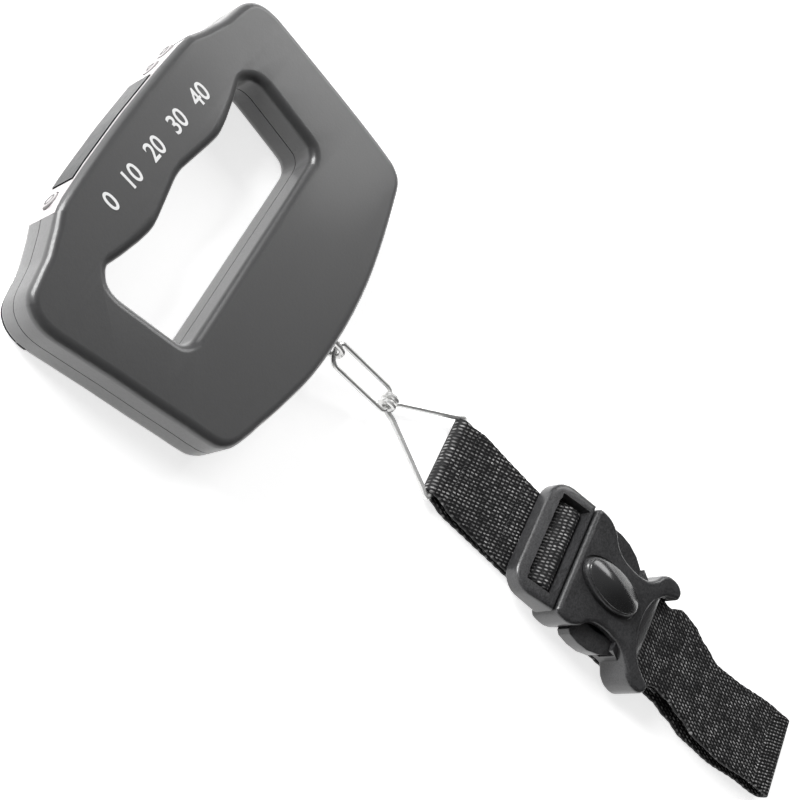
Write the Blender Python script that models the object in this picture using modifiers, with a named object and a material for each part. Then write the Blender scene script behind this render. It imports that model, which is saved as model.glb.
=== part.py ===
"""Digital luggage scale: a hollow two-shell handle with a display in its crown, and a load eye
that carries a wire link, a strap ring and a webbing loop closed by a side-release buckle.
It lies on its back: +Z is the front face, +Y is the display edge, the strap runs along -Y."""
import bpy
import bmesh
import math
from mathutils import Matrix, Vector

MM = 0.001

# ---- driving sizes, all in millimetres ----------------------------------------------------
SHIFT_X = -0.05          # centre the outline on the origin: the battery door stands proud on one
SHIFT_Y = 135.03         # side, and the crown edge is drawn at y = 0
THICK = 15.6             # front face to back face
PARTING = 8.2            # height of the seam between the shells
SEAM = 0.25              # gap left between neighbouring pieces
WALL = 1.8               # shell wall
FLOOR = 1.7              # shell front and back skin
EDGE = 2.3               # rounding of the front shell's edges
EDGE_BACK = 3.6          # rounding of the back shell's edges
PANEL_X = 29.5           # half length of the top panel
PANEL_Z = (2.1, 13.75)   # back and front edge of the top panel
LENS_X = (-20.0, 14.5)
LENS_Z = (3.8, 13.35)
BUTTONS = {"left": -24.6, "centre": 19.4, "right": 25.8}
BUTTON_Z = 8.0
BUTTON_R = 2.3
SCREWS = {"a": (-41.6, -55.0), "b": (43.5, -55.5), "c": (-43.5, -30.0), "d": (44.0, -14.0)}
BEAM = ((-31.0, 6.0), (-62.5, -53.5), (3.6, 12.0))
EYE_R = 0.75             # eye wire
EYE_Z = 8.0              # eye centre height
EYE_HALF = 2.6           # half distance between its legs
EYE_END = -73.6          # centre of its round end
CELL = (-42.0, -15.0)    # coin cell centre
CELL_R = 6.25
COVER_DIR = (-0.6, 0.8)  # the battery cover slides this way
COVER_HALF = 6.6
COVER_PROUD = 0.3        # how far the door's end stands out of the wall
LINK_R = 0.65
LINK_HALF = 3.3          # half distance between its legs
LINK_NEAR = (0.0, -74.5, 8.0)
LINK_FAR = (4.1, -97.0, 2.95)
RING_R = 0.8
RING_YAW = 1.8           # degrees
RING_LENGTH = 23.4       # hook axis to base bar
RING_BASE = 13.2         # half length of the base bar
RING_BAR_Z = 2.4
TAPE = 25.0              # webbing width
TAPE_T = 1.3             # webbing thickness
BUCKLE_AT = (5.6, -165.0)
BUCKLE_YAW = 0.8
FRAME_Z = (3.5, 12.0)    # male frame, at the junction
FRAME_TIP = 8.4          # its top at the outer rail
FRAME_LENGTH = 14.2
FRAME_BAR = (4.3, 7.6)   # the bar that holds the webbing, as distances from the junction
BOSS = (5.8, 11.2)       # half width and half length of the oval boss
BOSS_V = 13.8            # its centre
BOSS_TOP = 14.3
PLATE_Z = (1.9, 12.4)    # female half
POCKET_Z = (4.6, 9.8)
TAIL_BAR = (35.2, 6.0, 1.35)
FOLD_V, FOLD_R = 104.6, 2.15     # centre and inner radius of the webbing's far fold
TAIL_BEND, TAIL_YAW = 41.0, 2.6  # beyond the buckle the webbing turns to this direction

# outline of the body wall, from the crown centre to the bottom centre: the shoulder is the
# same on both sides, the wall below it leans in further on the battery side
SHOULDER = [(0, 2.6), (15, 2.3), (27, 1.6), (30.5, 0.6), (33, -0.5), (36, -1.6), (39.5, -2.8),
            (43, -3.5), (46, -4.0), (48.3, -4.7), (50.3, -6.1), (51.8, -8.4), (52.5, -11.3)]
BODY_RIGHT = SHOULDER + [(52.6, -15), (51.6, -29), (50.5, -43), (49.1, -55.5), (47.9, -60.2),
                         (45.0, -63.3), (38.2, -65.4), (27.2, -68.1), (14.2, -70.3), (0, -70.9)]
BODY_LEFT = SHOULDER + [(52.4, -14.5), (51.5, -20), (50.6, -25), (49.6, -31), (48.7, -37),
                        (47.7, -43.5), (46.6, -50), (45.8, -55.3), (44.8, -59.0), (42.3, -61.8),
                        (38, -63.6), (33, -65.0), (27, -66.8), (14, -69.8), (0, -70.9)]
# half outline of the hand opening, from its wavy top to its bottom
HOLE = [(0, -15.8), (7, -16.9), (14.5, -18.2), (19, -17.8), (22, -17.1), (26, -16.1),
        (28.5, -15.3), (30.6, -14.9), (32.5, -16), (33.8, -17.6), (34.4, -20), (34.2, -23),
        (33.3, -30), (32.5, -36.4), (31.8, -38.6), (29.8, -40.0), (26, -40.3), (13, -40.3),
        (0, -40.3)]
# half outline of the female buckle plate: (across, along)
PLATE = [(0, 0), (14, 0), (16.6, .5), (17.3, 2.2), (17, 6), (15.2, 9.3), (12.6, 11.6),
         (11, 14.5), (10.4, 18), (10.4, 22.0), (11.3, 25.8), (13.6, 28.8), (16.4, 30.8),
         (17.9, 33.6), (17.9, 37), (16.2, 39.2), (13.9, 39.0), (12.9, 36.8), (10.9, 33.6),
         (6, 30.4), (0, 29.2)]
# one latch arm: root, thumb pad, tip
ARM = [(7.4, 3.4), (10.6, 3.4), (12.0, 6.0), (12.9, 8.7), (16.6, 8.7), (17.6, 9.8), (18.0, 13.5),
       (17.6, 17.5), (16.2, 21.5), (13.8, 24.8), (11.6, 26.2), (9.8, 25.8), (9.4, 24.0),
       (10.4, 21.0), (11.2, 17.0), (11.2, 13.0), (10.0, 9.0), (8.4, 6.0)]

for item in list(bpy.data.objects):
    bpy.data.objects.remove(item, do_unlink=True)
for old in list(bpy.data.collections):
    bpy.data.collections.remove(old)
PARTS = bpy.data.collections.new("digital_luggage_scale")
CUTTERS = bpy.data.collections.new("cutters")
AXES = bpy.data.collections.new("joint_axes")
for item in (PARTS, CUTTERS, AXES):
    bpy.context.scene.collection.children.link(item)


# ---- small helpers ------------------------------------------------------------------------
def frame(x=0.0, y=0.0, z=0.0, yaw=0.0, pitch=0.0):
    """A placing matrix; yaw turns about +Z, pitch about the turned X axis."""
    turn = Matrix.Rotation(math.radians(yaw), 4, "Z") @ Matrix.Rotation(math.radians(pitch), 4, "X")
    return Matrix.Translation(((x + SHIFT_X) * MM, (y + SHIFT_Y) * MM, z * MM)) @ turn


BODY_FRAME = frame()


def mirror_loop(right, left=None):
    """The closed loop of half outlines that start and end on the centre line."""
    return list(right) + [(-x, y) for x, y in reversed((left or right)[1:-1])]


def smooth(points, per=6, keep=0.03):
    """A Catmull-Rom curve through the points, thinned to the given tolerance."""
    count = len(points)
    dense = []
    for i in range(count):
        p0, p1, p2, p3 = [Vector(points[(i + k - 1) % count]) for k in range(4)]
        for step in range(per):
            t = step / per
            dense.append(0.5 * ((2 * p1) + (p2 - p0) * t + (2 * p0 - 5 * p1 + 4 * p2 - p3) * t * t
                                + (3 * p1 - p0 - 3 * p2 + p3) * t ** 3))
    half = len(dense) // 2
    return thin(dense[:half + 1], keep)[:-1] + thin(dense[half:] + dense[:1], keep)[:-1]


def thin(points, keep):
    """Drop the points of an open run that lie within keep of the straight line."""
    if len(points) < 3:
        return list(points)
    a, b = points[0], points[-1]
    line = b - a
    far, index = 0.0, 0
    for i in range(1, len(points) - 1):
        t = max(0.0, min(1.0, (points[i] - a).dot(line) / line.length_squared))
        distance = (points[i] - (a + line * t)).length
        if distance > far:
            far, index = distance, i
    if far <= keep:
        return [a, b]
    return thin(points[:index + 1], keep)[:-1] + thin(points[index:], keep)


def offset(points, amount):
    """Move a closed loop sideways: a positive amount makes it larger."""
    count = len(points)
    area = sum(points[i][0] * points[(i + 1) % count][1] - points[(i + 1) % count][0] * points[i][1]
               for i in range(count))
    sign = 1.0 if area > 0 else -1.0
    result = []
    for i in range(count):
        a, b, c = Vector(points[i - 1]), Vector(points[i]), Vector(points[(i + 1) % count])
        first, second = (b - a).normalized(), (c - b).normalized()
        n1, n2 = Vector((first.y, -first.x)), Vector((second.y, -second.x))
        middle = (n1 + n2).normalized()
        result.append(b + middle * (sign * amount / max(0.5, middle.dot(n1))))
    return result


def arc(cx, cy, radius, start, end, steps):
    """Points on an arc, angles in degrees."""
    return [(cx + radius * math.cos(math.radians(start + (end - start) * i / steps)),
             cy + radius * math.sin(math.radians(start + (end - start) * i / steps)))
            for i in range(steps + 1)]


def crown(x):
    """Height of the crown wall at x."""
    x = abs(x)
    for (x0, y0), (x1, y1) in zip(SHOULDER, SHOULDER[1:]):
        if x0 <= x <= x1:
            return y0 + (y1 - y0) * (x - x0) / (x1 - x0)
    return 0.0


def add(name, mesh, place, home):
    item = bpy.data.objects.new(name, mesh)
    home.objects.link(item)
    item.matrix_world = place
    if home is CUTTERS:
        item.hide_render = True
        item.display_type = "WIRE"
    return item


def weld(mesh):
    work = bmesh.new()
    work.from_mesh(mesh)
    bmesh.ops.remove_doubles(work, verts=work.verts, dist=1e-7)
    bmesh.ops.recalc_face_normals(work, faces=work.faces)
    work.to_mesh(mesh)
    work.free()


def to_mesh(curve, name):
    """The closed mesh of a curve with its caps welded."""
    holder = bpy.data.objects.new(name + "_curve", curve)
    bpy.context.scene.collection.objects.link(holder)
    graph = bpy.context.evaluated_depsgraph_get()
    mesh = bpy.data.meshes.new_from_object(holder.evaluated_get(graph))
    bpy.data.objects.remove(holder, do_unlink=True)
    mesh.name = name
    weld(mesh)
    return mesh


def plate(name, loops, low, high, edge=0.0, rounds=2, place=BODY_FRAME, home=PARTS, axis="Z"):
    """A curve profile with holes, extruded and rounded by the curve's own bevel."""
    curve = bpy.data.curves.new(name, "CURVE")
    curve.dimensions = "2D"
    curve.fill_mode = "BOTH"
    for points in loops:
        spline = curve.splines.new("POLY")
        spline.points.add(len(points) - 1)
        spline.use_cyclic_u = True
        for corner, (x, y) in zip(spline.points, points):
            corner.co = (x * MM, y * MM, 0.0, 1.0)
    curve.extrude = ((high - low) / 2 - edge) * MM
    curve.bevel_depth = edge * MM
    curve.offset = -edge * MM
    curve.bevel_resolution = rounds
    mesh = to_mesh(curve, name)
    mesh.transform(Matrix.Translation((0.0, 0.0, (low + high) / 2 * MM)))
    if axis == "X":          # profile drawn as (along -Y, up), extruded across X
        mesh.transform(Matrix(((0, 0, 1, 0), (-1, 0, 0, 0), (0, 1, 0, 0), (0, 0, 0, 1))))
        weld(mesh)
    return add(name, mesh, place, home)


def block(name, low, high, place=BODY_FRAME, home=PARTS, bevel=0.0):
    work = bmesh.new()
    bmesh.ops.create_cube(work, size=1.0)
    for vertex in work.verts:
        for k in range(3):
            vertex.co[k] = (low[k] if vertex.co[k] < 0 else high[k]) * MM
    mesh = bpy.data.meshes.new(name)
    work.to_mesh(mesh)
    work.free()
    item = add(name, mesh, place, home)
    if bevel:
        soften(item, bevel)
    return item


def soften(item, width, segments=2, angle=40.0):
    bevel = item.modifiers.new("edges", "BEVEL")
    bevel.width = width * MM
    bevel.segments = segments
    bevel.limit_method = "ANGLE"
    bevel.angle_limit = math.radians(angle)
    bevel.miter_outer = "MITER_SHARP"
    return bevel


def rod(name, start, end, radius, place=BODY_FRAME, home=PARTS, sides=20, radius_end=None):
    """A cylinder between two points."""
    a, b = Vector(start) * MM, Vector(end) * MM
    work = bmesh.new()
    bmesh.ops.create_cone(work, cap_ends=True, segments=sides, radius1=radius * MM,
                          radius2=(radius if radius_end is None else radius_end) * MM,
                          depth=(b - a).length)
    mesh = bpy.data.meshes.new(name)
    work.to_mesh(mesh)
    work.free()
    turn = (b - a).to_track_quat("Z", "Y").to_matrix().to_4x4()
    mesh.transform(Matrix.Translation((a + b) / 2) @ turn)
    return add(name, mesh, place, home)


def wire(name, points, radius, place=BODY_FRAME, cyclic=False, home=PARTS, live=True, rounds=2):
    """A wire bent along points, as a curve with a round bevel."""
    curve = bpy.data.curves.new(name, "CURVE")
    curve.dimensions = "3D"
    curve.twist_mode = "MINIMUM"
    spline = curve.splines.new("POLY")
    spline.points.add(len(points) - 1)
    spline.use_cyclic_u = cyclic
    for corner, point in zip(spline.points, points):
        corner.co = (point[0] * MM, point[1] * MM, point[2] * MM, 1.0)
    curve.bevel_depth = radius * MM
    curve.bevel_resolution = rounds
    curve.use_fill_caps = not cyclic
    if live:
        return add(name, curve, place, home)
    return add(name, to_mesh(curve, name), place, home)


def boolean(item, tool, operation="DIFFERENCE"):
    if tool.name not in CUTTERS.objects:
        for home in list(tool.users_collection):
            home.objects.unlink(tool)
        CUTTERS.objects.link(tool)
        tool.hide_render = True
        tool.display_type = "WIRE"
    step = item.modifiers.new(operation.lower() + "_" + tool.name, "BOOLEAN")
    step.operation = operation
    step.solver = "EXACT"
    step.object = tool
    return step


def paint(item, colour, metallic=0.0, roughness=0.5, alpha=1.0):
    material = bpy.data.materials.new("cad_" + item.name)
    material.use_nodes = True
    shader = material.node_tree.nodes["Principled BSDF"]
    shader.inputs["Base Color"].default_value = (*colour, 1.0)
    shader.inputs["Metallic"].default_value = metallic
    shader.inputs["Roughness"].default_value = roughness
    shader.inputs["Alpha"].default_value = alpha
    item.data.materials.clear()
    item.data.materials.append(material)


def axis_mark(name, place):
    """An empty on a joint axis."""
    mark = bpy.data.objects.new(name, None)
    mark.empty_display_size = 0.005
    AXES.objects.link(mark)
    mark.matrix_world = place


# ---- shells -------------------------------------------------------------------------------
outer = smooth(mirror_loop(BODY_RIGHT, BODY_LEFT))
hole = smooth(mirror_loop(HOLE))
inner = offset(outer, -WALL)
hole_wall = offset(hole, WALL)
CAVITY = plate("cavity_cutter", [inner, hole_wall], FLOOR, THICK - FLOOR, home=CUTTERS)
COVER_YAW = math.degrees(math.atan2(COVER_DIR[1], COVER_DIR[0]))
COVER_FRAME = frame(CELL[0], CELL[1], 0.0, COVER_YAW)
tombstone = [(30, -COVER_HALF), (30, COVER_HALF)] + arc(0, 0, COVER_HALF, 90, 270, 14)


def shell(name, low, high, edge):
    """One half of the case: outer form, hollow inside, trimmed at the seam."""
    item = plate(name, [outer, hole], 0.0, THICK, edge, 3)
    boolean(item, block(name + "_keep", (-70, -90, low), (70, 20, high), home=CUTTERS), "INTERSECT")
    boolean(item, CAVITY)
    boolean(item, WINDOW)
    boolean(item, EYE_SLOT)
    return item


WINDOW = block("panel_window", (-PANEL_X - SEAM, -1.7, PANEL_Z[0] - SEAM),
               (PANEL_X + SEAM, 6.0, PANEL_Z[1] + SEAM), home=CUTTERS)
EYE_SLOT = block("eye_slot", (-1.15, -74.0, EYE_Z - 3.75), (1.15, -66.0, EYE_Z + 3.75), home=CUTTERS)

back = shell("back_shell", -5.0, PARTING - SEAM / 2, EDGE_BACK)
front = shell("front_shell", PARTING + SEAM / 2, 25.0, EDGE)
for key, (x, y) in SCREWS.items():
    boolean(back, rod("boss_back_" + key, (x, y, 1.2), (x, y, PARTING - SEAM / 2 - 0.02), 3.1,
                      home=CUTTERS), "UNION")
    boolean(front, rod("boss_front_" + key, (x, y, PARTING + SEAM / 2 + 0.02), (x, y, THICK - 1.0),
                       2.7, home=CUTTERS), "UNION")
for key, (x, y) in SCREWS.items():
    boolean(back, rod("recess_" + key, (x, y, -1.0), (x, y, 3.1), 2.35, home=CUTTERS))
    boolean(back, rod("clear_" + key, (x, y, 2.0), (x, y, 9.0), 1.3, home=CUTTERS, sides=14))
    boolean(front, rod("pilot_" + key, (x, y, 7.0), (x, y, 13.0), 1.3, home=CUTTERS, sides=14))
    screw = rod("case_screw_" + key, (x, y, 0.9), (x, y, 2.95), 2.05)
    boolean(screw, rod("shank_" + key, (x, y, 2.5), (x, y, 12.6), 1.02, home=CUTTERS, sides=12), "UNION")
    boolean(screw, block("cross_1_" + key, (x - 1.2, y - .22, 0.0), (x + 1.2, y + .22, 1.7), home=CUTTERS))
    boolean(screw, block("cross_2_" + key, (x - .22, y - 1.2, -0.1), (x + .22, y + 1.2, 1.72), home=CUTTERS))
    paint(screw, (0.30, 0.30, 0.31), 1.0, 0.35)

# pads for the load beam, with pilot holes for its two screws
beam_screws = {"outer": -28.6, "inner": -23.4}
for key, x in beam_screws.items():
    boolean(back, rod("pad_" + key, (x, -58.0, 1.2), (x, -58.0, BEAM[2][0] - 0.05), 2.55, home=CUTTERS), "UNION")
for key, x in beam_screws.items():
    boolean(back, rod("pad_hole_" + key, (x, -58.0, 0.8), (x, -58.0, 5.0), 1.3, home=CUTTERS, sides=12))

# battery door: opening in the back skin, with a notch in the wall for the door's inner flange
boolean(back, plate("door_opening", [offset(tombstone, SEAM)], -1.0, FLOOR + 0.35, place=COVER_FRAME, home=CUTTERS))
boolean(back, block("door_notch", (2.0, -COVER_HALF - 1.6, FLOOR + 0.05), (30.0, COVER_HALF + 1.6, FLOOR + 1.25),
                    COVER_FRAME, CUTTERS))
for item in (back, front):
    paint(item, (0.09, 0.095, 0.10), 0.0, 0.42)

# ---- battery door, coin cell and its contact ----------------------------------------------
door = plate("battery_cover", [tombstone], 0.2, 1.55, 0.25, 1, place=COVER_FRAME)
boolean(door, block("door_flange", (-4.6, -COVER_HALF - 1.2, FLOOR + 0.25), (8.6, COVER_HALF + 1.2, FLOOR + 0.95),
                    COVER_FRAME, CUTTERS), "UNION")
boolean(door, block("door_neck", (-4.0, -COVER_HALF + 1.4, 1.2), (8.0, COVER_HALF - 1.4, FLOOR + 0.6),
                    COVER_FRAME, CUTTERS), "UNION")
limit = plate("door_limit", [offset(outer, COVER_PROUD)], 0.1, THICK, EDGE_BACK, 2, home=CUTTERS)
boolean(door, limit, "INTERSECT")
for k in range(4):
    boolean(door, block("door_grip_%d" % k, (6.2 + k * 1.3, -3.4, -0.5), (6.8 + k * 1.3, 3.4, 0.55), COVER_FRAME, CUTTERS))
paint(door, (0.09, 0.095, 0.10), 0.0, 0.45)
cell = rod("coin_cell", (0, 0, FLOOR + 1.2), (0, 0, FLOOR + 3.7), CELL_R, frame(CELL[0], CELL[1]), sides=32)
soften(cell, 0.3, 2, 60.0)
paint(cell, (0.72, 0.72, 0.72), 1.0, 0.28)
contact = plate("cell_contact", [[(-7.0, FLOOR + 4.0), (-1.0, FLOOR + 3.95), (0.0, FLOOR + 3.78), (1.0, FLOOR + 3.95),
                                  (7.0, FLOOR + 4.0), (7.2, 2.2), (7.5, 2.2), (7.4, FLOOR + 4.35), (-7.0, FLOOR + 4.35)]],
                -2.0, 2.0, place=frame(CELL[0], CELL[1]), axis="X")
paint(contact, (0.75, 0.72, 0.60), 1.0, 0.3)
axis_mark("battery_cover_axis", COVER_FRAME)

# ---- top panel, lens, display and buttons -------------------------------------------------
def strip(x0, x1, top, bottom, steps=12):
    """A band that follows the crown wall from x0 to x1."""
    xs = [x0 + (x1 - x0) * i / steps for i in range(steps + 1)]
    return [(x, crown(x) + top) for x in xs] + [(x, crown(x) - bottom) for x in reversed(xs)]


panel = plate("top_panel", [strip(-PANEL_X, PANEL_X, 0.0, 1.55, 16)], PANEL_Z[0], PANEL_Z[1], 0.2, 1)
boolean(panel, block("lens_window", (LENS_X[0], -5, LENS_Z[0]), (LENS_X[1], 8, LENS_Z[1]), home=CUTTERS))
paint(panel, (0.80, 0.78, 0.77), 0.0, 0.35)
lens = plate("lcd_lens", [strip(LENS_X[0] + SEAM, LENS_X[1] - SEAM, 0.25, 1.35)], LENS_Z[0] + SEAM, LENS_Z[1] - SEAM, 0.2, 1)
paint(lens, (0.05, 0.055, 0.06), 0.0, 0.08, 1.0)
display = block("lcd_module", (-18.8, -3.0, 4.2), (13.2, 0.35, 12.9), bevel=0.3)
paint(display, (0.35, 0.38, 0.34), 0.0, 0.25)
board = block("circuit_board", (-28.8, -4.3, 2.7), (28.8, -3.3, 13.1))
paint(board, (0.02, 0.18, 0.08), 0.0, 0.4)
chip = block("main_chip", (-5.0, -5.6, 4.4), (5.0, -4.35, 11.4), bevel=0.25)
paint(chip, (0.02, 0.02, 0.02), 0.0, 0.3)
for key, x in BUTTONS.items():
    top = crown(x)
    boolean(panel, rod("hole_" + key, (x, -5, BUTTON_Z), (x, 8, BUTTON_Z), BUTTON_R + SEAM, home=CUTTERS, sides=28))
    place = frame(x, top - 3.0, BUTTON_Z)
    cap = rod("button_" + key, (0, 0.2, 0), (0, 3.35, 0), BUTTON_R, place, sides=28)
    soften(cap, 0.3, 2, 60.0)
    boolean(cap, rod("flange_" + key, (0, 0.25, 0), (0, 0.8, 0), BUTTON_R + 0.6, place, CUTTERS, 28), "UNION")
    paint(cap, (0.62, 0.60, 0.58), 0.0, 0.4)
    axis_mark("button_%s_axis" % key, place)
    switch = block("switch_" + key, (-2.2, -3.25 - top + 3.0, -2.2), (2.2, -2.0 - top + 3.0, 2.2), place)
    boolean(switch, rod("plunger_" + key, (0, -2.6 - top + 3.0, 0), (0, -0.55, 0), 1.1, place, CUTTERS, 16), "UNION")
    paint(switch, (0.06, 0.06, 0.06), 0.0, 0.4)

# ---- load beam, its screws, the gauge and the load eye ------------------------------------
beam = block("load_beam", (BEAM[0][0], BEAM[1][0], BEAM[2][0]), (BEAM[0][1], BEAM[1][1], BEAM[2][1]))
for key, x in (("a", -15.5), ("b", -7.5)):
    boolean(beam, rod("binocular_" + key, (x, -58.0, 0), (x, -58.0, 15), 2.9, home=CUTTERS, sides=24))
boolean(beam, block("binocular_slot", (-15.5, -58.8, 0.5), (-7.5, -57.2, 14.5), home=CUTTERS))
for sign in (-1, 1):
    z = EYE_Z + sign * EYE_HALF
    boolean(beam, rod("eye_hole_%d" % sign, (0, -64, z), (0, -52, z), EYE_R + 0.3, home=CUTTERS, sides=16))
for key, x in beam_screws.items():
    boolean(beam, rod("beam_hole_" + key, (x, -58.0, 2.0), (x, -58.0, 14.0), 1.3, home=CUTTERS, sides=14))
    bolt = rod("beam_screw_" + key, (x, -58.0, BEAM[2][1] + 0.1), (x, -58.0, BEAM[2][1] + 1.6), 2.3)
    boolean(bolt, rod("beam_shank_" + key, (x, -58.0, 1.5), (x, -58.0, BEAM[2][1] + 0.9), 1.02, home=CUTTERS, sides=12), "UNION")
    boolean(bolt, rod("beam_hex_" + key, (x, -58.0, BEAM[2][1] + 0.8), (x, -58.0, 15.0), 1.1, home=CUTTERS, sides=6))
    paint(bolt, (0.32, 0.32, 0.33), 1.0, 0.35)
paint(beam, (0.70, 0.71, 0.73), 1.0, 0.30)
gauge = block("strain_gauge", (-14.5, -53.45, 5.3), (-8.5, -53.15, 10.3))
paint(gauge, (0.75, 0.45, 0.10), 0.0, 0.5)
eye_path = ([(0, -51.6, EYE_Z - EYE_HALF)]
            + [(0, y, z) for y, z in arc(EYE_END, EYE_Z, EYE_HALF, -90, -270, 12)]
            + [(0, -51.6, EYE_Z + EYE_HALF)])
eye = wire("load_eye", eye_path, EYE_R, live=False)
for sign in (-1, 1):
    z = EYE_Z + sign * EYE_HALF
    boolean(eye, rod("eye_head_%d" % sign, (0, -53.2, z), (0, -51.2, z), 1.65, home=CUTTERS, sides=16), "UNION")
paint(eye, (0.62, 0.62, 0.64), 1.0, 0.25)

# ---- wire link ----------------------------------------------------------------------------
near, far = Vector(LINK_NEAR), Vector(LINK_FAR)
run = far - near
LINK_YAW = math.degrees(math.atan2(run.x, -run.y))
LINK_PITCH = math.degrees(math.atan2(-run.z, math.hypot(run.x, run.y)))
LINK_FRAME = frame(near.x, near.y, near.z, LINK_YAW, LINK_PITCH)
length = run.length
corner_near, corner_far = 2.6, 2.2
link_path = (arc(LINK_HALF - corner_near, -corner_near, corner_near, 90, 0, 6)
             + arc(LINK_HALF - corner_far, -length + corner_far, corner_far, 0, -90, 6)
             + arc(-LINK_HALF + corner_far, -length + corner_far, corner_far, -90, -180, 6)
             + arc(-LINK_HALF + corner_near, -corner_near, corner_near, 180, 90, 6))
link = wire("wire_link", [(x, y, 0.0) for x, y in link_path], LINK_R, LINK_FRAME, cyclic=True)
paint(link, (0.62, 0.62, 0.64), 1.0, 0.25)

# ---- strap ring: a triangle whose two ends hook round the link ----------------------------
RING_PITCH = math.degrees(math.asin((LINK_FAR[2] - RING_BAR_Z) / RING_LENGTH))
RING_FRAME = frame(LINK_FAR[0], LINK_FAR[1], LINK_FAR[2], RING_YAW, RING_PITCH)
hook = LINK_R + 0.3 + RING_R
hook_x, corner = 0.95, 2.0


def hook_points(side):
    """One end: from above the link wire, over it, and down under it to the leg."""
    return [(side * hook_x, y, z) for y, z in arc(0, 0, hook, 205, -90, 10)]


slope = math.atan2(RING_BASE - hook_x, RING_LENGTH - 1.0)
right = hook_points(1)
ring_path = right + [(hook_x + 0.6, -2.2, -hook + 0.25), (hook_x + 1.6, -4.0, -hook + 0.9)]
leg_end = (RING_BASE - math.tan(slope) * 3.2, -RING_LENGTH + 3.2)
ring_path += [(leg_end[0], leg_end[1], 0.0), (RING_BASE - 0.55, -RING_LENGTH + 1.25, 0.0),
              (RING_BASE - 0.35, -RING_LENGTH + 0.45, 0.0), (RING_BASE - 0.85, -RING_LENGTH + 0.06, 0.0),
              (RING_BASE - 1.6, -RING_LENGTH, 0.0)]
ring_path += [(-x, y, z) for x, y, z in reversed(ring_path)]
ring = wire("strap_ring", ring_path, RING_R, RING_FRAME)
paint(ring, (0.62, 0.62, 0.64), 1.0, 0.25)
BASE = RING_FRAME @ Vector((0.0, -RING_LENGTH * MM, 0.0))
BASE_AT = (BASE.x / MM - SHIFT_X, BASE.y / MM - SHIFT_Y, BASE.z / MM)
axis_mark("strap_axis", Matrix.Translation(BASE))

# ---- webbing ------------------------------------------------------------------------------
BUCKLE = frame(BUCKLE_AT[0], BUCKLE_AT[1], 0.0, BUCKLE_YAW)
TURN = math.radians(BUCKLE_YAW)


def centre(v):
    """Plan position of the tape's centre line at v, measured from the buckle's junction."""
    if v > TAIL_BEND:
        x1, y1 = centre(TAIL_BEND)
        tail = math.radians(TAIL_YAW)
        return x1 + (v - TAIL_BEND) * math.sin(tail), y1 - (v - TAIL_BEND) * math.cos(tail)
    if v >= -16.0:
        return BUCKLE_AT[0] + v * math.sin(TURN), BUCKLE_AT[1] - v * math.cos(TURN)
    x1, y1 = centre(-16.0)
    x0, y0 = BASE_AT[0], BASE_AT[1]
    t = (v + 16.0) / (V_RING + 16.0)
    return x1 + (x0 - x1) * t, y1 + (y0 - y1) * t


def across(v):
    """Plan direction across the tape at v, in radians: square to the ring, the buckle, the tail."""
    if v > TAIL_BEND:
        return math.radians(BUCKLE_YAW + (TAIL_YAW - BUCKLE_YAW) * min(1.0, (v - TAIL_BEND) / 11.0))
    t = max(0.0, min(1.0, (v + 16.0) / (V_RING + 16.0)))
    return math.radians(BUCKLE_YAW + (RING_YAW - BUCKLE_YAW) * t)


V_RING = -math.hypot(BUCKLE_AT[0] - BASE_AT[0], BUCKLE_AT[1] - BASE_AT[1])


def tape(name, path, place, narrow=None):
    """Webbing: an open curve drawn as (v, z), extruded to the tape's width and solidified.
    It is then bent in plan so that it follows the centre line."""
    curve = bpy.data.curves.new(name, "CURVE")
    curve.dimensions = "2D"
    curve.fill_mode = "NONE"
    spline = curve.splines.new("POLY")
    spline.points.add(len(path) - 1)
    for corner, (v, z) in zip(spline.points, path):
        corner.co = (v * MM, z * MM, 0.0, 1.0)
    curve.extrude = TAPE / 2 * MM
    mesh = to_mesh(curve, name)
    inverse = place.inverted()
    for vertex in mesh.vertices:
        v, z, u = vertex.co.x / MM, vertex.co.y / MM, vertex.co.z / MM
        if narrow and v < narrow[0]:
            u *= narrow[1] + (1.0 - narrow[1]) * max(0.0, min(1.0, 1.0 - (narrow[0] - v) / narrow[2]))
        x, y = centre(v)
        vertex.co = inverse @ Vector(((x + SHIFT_X + u * math.cos(across(v))) * MM,
                                      (y + SHIFT_Y + u * math.sin(across(v))) * MM, z * MM))
    item = add(name, mesh, place, PARTS)
    body = item.modifiers.new("thickness", "SOLIDIFY")
    body.thickness = TAPE_T * MM
    body.offset = 0.0
    body.use_even_offset = True
    return item


half = TAPE_T / 2
wrap = RING_R + 0.18 + half
low = half + 0.02
bar_mid = -sum(FRAME_BAR) / 2
front_path = [(bar_mid + v, z) for v, z in
              [(-1.2, 3.0), (1.6, 3.0), (2.7, 3.5), (3.2, 4.7), (3.05, 6.0), (2.1, 7.0), (0.0, 7.2), (-2.0, 7.0),
               (-3.0, 6.0), (-3.25, 4.8), (-3.6, 3.7), (-4.6, 2.75), (-6.5, 2.55), (-13.0, 2.7)]]
front_path += [(-30.0, 3.2), (V_RING + 5.0, 3.9)]
front_path += [(V_RING + wrap * math.cos(a), RING_BAR_Z + wrap * math.sin(a)) for a in
               [math.radians(80 + 20 * i) for i in range(10)]]
front_path += [(V_RING + 3.0, low + 0.15), (V_RING + 6.0, low)] + [(v, low) for v in (-28, -14, 0, 20, 40, 44, 48, 52, 80, FOLD_V - 5.3)]
STRAP_FRAME = Matrix.Translation(BASE)
front_tape = tape("webbing_front", front_path, STRAP_FRAME, (V_RING + 9.0, 0.82, 7.0))
fold_path = ([(FOLD_V - 5.0, low), (FOLD_V - 1.5, low)]
             + [(FOLD_V + FOLD_R * math.cos(a), low + FOLD_R + FOLD_R * math.sin(a)) for a in
                [math.radians(-90 + 22.5 * i) for i in range(9)]]
             + [(FOLD_V - 3.0, low + 2 * FOLD_R + 0.05), (FOLD_V - 7.3, low + 2 * FOLD_R + 0.1)])
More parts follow.
